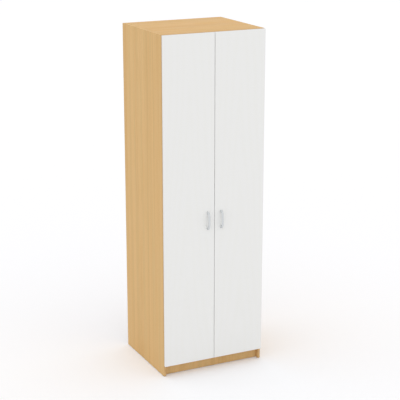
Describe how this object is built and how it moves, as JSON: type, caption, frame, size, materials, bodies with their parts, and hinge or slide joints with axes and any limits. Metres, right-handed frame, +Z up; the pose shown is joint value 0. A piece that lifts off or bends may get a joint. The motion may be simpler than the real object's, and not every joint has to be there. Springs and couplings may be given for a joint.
{
  "type": "wardrobe",
  "caption": "Tall free-standing wardrobe with a beech board carcass, white overlay doors on concealed hinges, bow handles, a hat shelf and a hanging rail.",
  "frame": {"origin": "on the floor, at the centre of the outer box that includes the handles", "axes": "+Z up, the doors face -Y, +X to the right seen from the front"},
  "size_m": [0.7, 0.644, 2.2],
  "materials": {
    "beech_board": "satin",
    "white_board": "satin",
    "white_hardboard": "matte",
    "beech_edging": "satin",
    "white_edging": "satin",
    "satin_aluminium": "satin",
    "nickel_steel": "satin",
    "zinc_steel": "satin",
    "chrome_tube": "polished",
    "beech_dowel": "matte",
    "white_plastic": "satin",
    "clear_bumper": "satin"
  },
  "bodies": {
    "carcass": {"left_side": "beech_board", "right_side": "beech_board", "top_panel": "beech_board", "bottom_panel": "beech_board", "hat_shelf": "beech_board", "plinth": "beech_board", "back_panel": "white_hardboard", "left_side_edging": "beech_edging", "right_side_edging": "beech_edging", "top_edging": "beech_edging", "bottom_edging": "beech_edging", "shelf_edging": "beech_edging", "cam_bolts": "zinc_steel", "cam_locks": "zinc_steel", "dowels": "beech_dowel", "back_nails": "zinc_steel", "floor_glides": "white_plastic", "plinth_blocks": "white_plastic", "plinth_block_screws": "zinc_steel", "hanging_rail": "chrome_tube", "rail_sockets": "chrome_tube", "rail_socket_screws": "zinc_steel", "hinge_plates": "nickel_steel", "hinge_plate_screws": "zinc_steel", "hinge_arms": "nickel_steel", "hinge_arm_screws": "zinc_steel", "hinge_arm_pins": "zinc_steel"},
    "left_links": {"left_hinge_links": "nickel_steel"},
    "left_door": {"left_door": "white_board", "left_door_edging": "white_edging", "left_handle": "satin_aluminium", "left_handle_screws": "zinc_steel", "left_hinge_cups": "nickel_steel", "left_cup_screws": "zinc_steel", "left_cup_pins": "zinc_steel", "left_door_bumpers": "clear_bumper"},
    "right_links": {"right_hinge_links": "nickel_steel"},
    "right_door": {"right_door": "white_board", "right_door_edging": "white_edging", "right_handle": "satin_aluminium", "right_handle_screws": "zinc_steel", "right_hinge_cups": "nickel_steel", "right_cup_screws": "zinc_steel", "right_cup_pins": "zinc_steel", "right_door_bumpers": "clear_bumper"}
  },
  "joints": [
    {"name": "left_link_turn", "type": "hinge", "parent": "carcass", "child": "left_links", "pos_m": [-0.322, -0.275, 1.1365], "axis": [0, 0, 1], "range_deg": [0, 34]},
    {"name": "left_door_swing", "type": "hinge", "parent": "left_links", "child": "left_door", "pos_m": [-0.339, -0.282, 1.1365], "axis": [0, 0, 1], "range_deg": [-129, 0]},
    {"name": "right_link_turn", "type": "hinge", "parent": "carcass", "child": "right_links", "pos_m": [0.322, -0.275, 1.1365], "axis": [0, 0, 1], "range_deg": [-34, 0]},
    {"name": "right_door_swing", "type": "hinge", "parent": "right_links", "child": "right_door", "pos_m": [0.339, -0.282, 1.1365], "axis": [0, 0, 1], "range_deg": [0, 129]}
  ],
  "couplings": [
    {"joint": "left_link_turn", "follows": "left_door_swing", "ratio": -0.26357},
    {"joint": "right_link_turn", "follows": "right_door_swing", "ratio": -0.26357}
  ]
}
